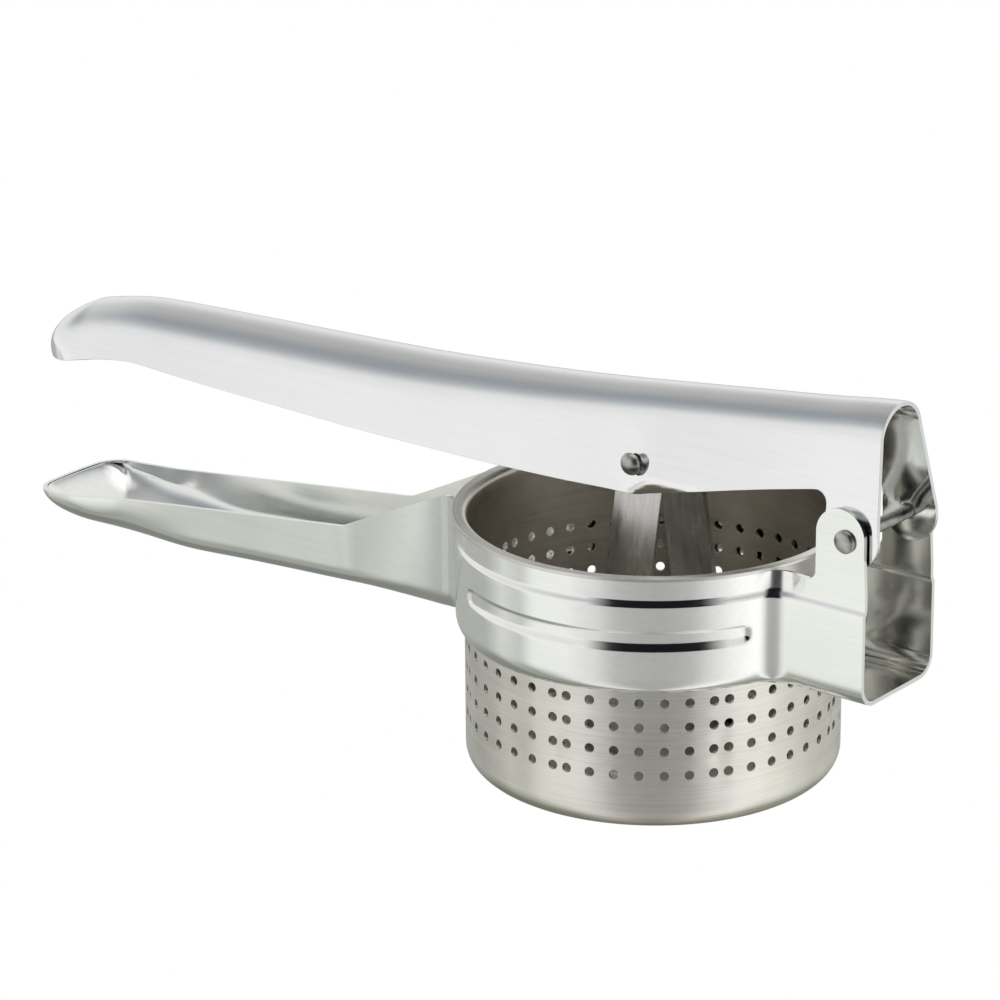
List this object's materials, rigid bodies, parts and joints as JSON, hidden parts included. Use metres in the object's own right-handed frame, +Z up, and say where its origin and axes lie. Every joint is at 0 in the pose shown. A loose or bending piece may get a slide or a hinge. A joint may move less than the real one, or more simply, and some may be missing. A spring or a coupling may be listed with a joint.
{
  "type": "potato ricer",
  "caption": "Hand press with a perforated round basket in a ring frame, and a hinged lever that drives a press plate down into the basket.",
  "frame": {"origin": "centre of the basket's outer base face, which is the lowest point of the object", "axes": "+X from the basket toward the hinge, -X toward the grips, +Y across, +Z up along the basket's axis"},
  "size_m": [0.2465, 0.0904, 0.0983],
  "materials": {
    "frame_chrome": "polished pressed sheet",
    "lever_chrome": "polished pressed sheet",
    "basket_steel": "satin, brushed round the wall",
    "plate_steel": "satin",
    "yoke_steel": "satin, brushed lengthwise",
    "rivet_steel": "dull, domed",
    "plunger_rivet_steel": "dull, domed"
  },
  "bodies": {
    "frame": {"lower_frame": "frame_chrome", "basket": "basket_steel", "hinge_rivet": "rivet_steel"},
    "lever": {"upper_handle": "lever_chrome", "plunger_rivet": "plunger_rivet_steel"},
    "plunger": {"plunger_yoke": "yoke_steel", "press_plate": "plate_steel"}
  },
  "joints": [
    {"name": "lever_hinge", "type": "hinge", "parent": "frame", "child": "lever", "pos_m": [0.06, 0, 0.0695], "axis": [0, 1, 0], "range_deg": [0, 42]},
    {"name": "plunger_swing", "type": "hinge", "parent": "lever", "child": "plunger", "pos_m": [0.0025, 0, 0.0745], "axis": [0, 1, 0], "range_deg": [-29.4, 0]}
  ],
  "couplings": [
    {"joint": "plunger_swing", "follows": "lever_hinge", "ratio": -0.7}
  ]
}
